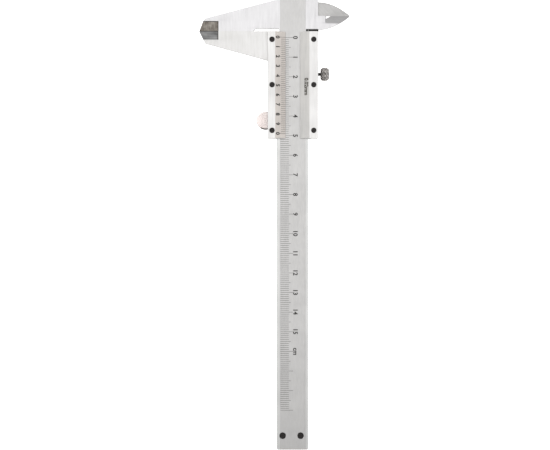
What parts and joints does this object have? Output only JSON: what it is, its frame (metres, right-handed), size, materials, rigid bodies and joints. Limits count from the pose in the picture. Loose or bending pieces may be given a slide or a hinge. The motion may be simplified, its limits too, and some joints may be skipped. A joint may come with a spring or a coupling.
{
  "type": "vernier caliper",
  "caption": "Vernier caliper with outside and inside jaws, sliding vernier frame, depth rod, leaf gib and side lock screw.",
  "frame": {"origin": "centre of the caliper's box, on the plane that its back rests on, with the jaws closed", "axes": "+Z out of the graduated face, +Y along the beam towards the head, +X towards the inside jaws"},
  "size_m": [0.0768, 0.2308, 0.0079],
  "materials": {
    "beam_steel": "satin ground",
    "frame_steel": "bright ground",
    "scale_plate_steel": "satin",
    "rod_steel": "ground",
    "thumb_rest_steel": "turned",
    "black_screws": "black oxide",
    "knob_plating": "knurled, nickel plated",
    "gib_bronze": "rolled"
  },
  "bodies": {
    "beam": {"main_beam": "beam_steel", "end_stop_plate": "frame_steel", "end_screw_1": "black_screws", "end_screw_2": "black_screws"},
    "slider": {"slider_frame": "frame_steel", "vernier_plate": "scale_plate_steel", "cover_plate": "scale_plate_steel", "plate_screw_1": "black_screws", "plate_screw_2": "black_screws", "plate_screw_3": "black_screws", "plate_screw_4": "black_screws", "plate_screw_5": "black_screws", "plate_screw_6": "black_screws", "depth_rod": "rod_steel", "depth_rod_rivet_1": "rod_steel", "depth_rod_rivet_2": "rod_steel", "thumb_rest": "thumb_rest_steel", "thumb_rest_pin": "rod_steel", "gib_screw_1": "black_screws", "gib_screw_2": "black_screws"},
    "gib": {"gib_leaf": "gib_bronze"},
    "lock": {"lock_screw": "knob_plating"}
  },
  "joints": [
    {"name": "slider_travel", "type": "slide", "parent": "beam", "child": "slider", "axis": [0, -1, 0], "range_m": [0, 0.15]},
    {"name": "gib_press", "type": "slide", "parent": "slider", "child": "gib", "axis": [-1, 0, 0], "range_m": [0, 0.0002]},
    {"name": "lock_turn", "type": "hinge", "parent": "gib", "child": "lock", "pos_m": [0.02, 0.07615, 0.00385], "axis": [-1, 0, 0], "range_deg": [0, 180]}
  ],
  "couplings": [
    {"joint": "lock_turn", "follows": "gib_press", "rad_per_m": 15708}
  ]
}
